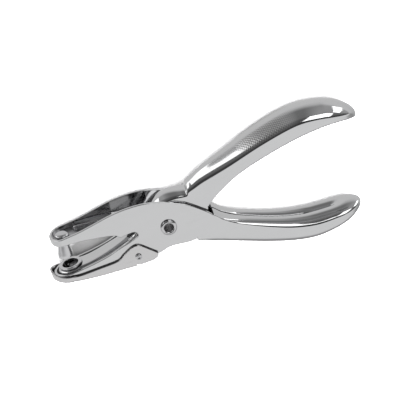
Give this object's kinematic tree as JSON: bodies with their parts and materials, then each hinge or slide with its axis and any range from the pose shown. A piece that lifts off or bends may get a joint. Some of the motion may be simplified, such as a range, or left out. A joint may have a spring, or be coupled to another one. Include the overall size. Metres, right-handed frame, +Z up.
{
  "type": "hole punch",
  "caption": "Hand-held plier punch for paper: sprung lever with a die, fixed punch pin in the upper jaw and a hinged tray for the chips.",
  "frame": {"origin": "centre of the bounding box on the surface the punch lies on", "axes": "+X from the jaws to the handle ends, +Y from the tray side to the lever side, +Z up, along the main pivot"},
  "size_m": [0.14, 0.0594, 0.0188],
  "materials": {
    "frame": "bright plated, polished",
    "lever": "bright plated, polished",
    "chip_tray": "bright plated thin sheet",
    "punch_pin": "ground, bright cutting end",
    "punch_plate": "plain stamped steel",
    "die_bush": "turned, bright rim",
    "pivot_rivet": "plated, rolled ends",
    "spacer_sleeve": "plain tube",
    "tray_pin": "plated",
    "torsion_spring": "drawn wire"
  },
  "bodies": {
    "frame": {"frame": "frame", "punch_pin": "punch_pin", "punch_plate": "punch_plate", "pivot_rivet": "pivot_rivet", "spacer_sleeve": "spacer_sleeve", "tray_pin_near": "tray_pin", "tray_pin_far": "tray_pin", "torsion_spring": "torsion_spring"},
    "lever": {"lever": "lever", "die_bush": "die_bush"},
    "tray": {"chip_tray": "chip_tray"}
  },
  "joints": [
    {"name": "squeeze", "type": "hinge", "parent": "frame", "child": "lever", "pos_m": [-0.0174, -0.00095, 0.0094], "axis": [0, 0, 1], "range_deg": [-8, 0], "stiffness_Nm_per_rad": 0.6, "springref_deg": 34.38, "deforming": ["torsion_spring"]},
    {"name": "tray_hinge", "type": "hinge", "parent": "frame", "child": "tray", "pos_m": [-0.0331, -0.00885, 0.0094], "axis": [0, 0, 1], "range_deg": [0, 70]}
  ]
}
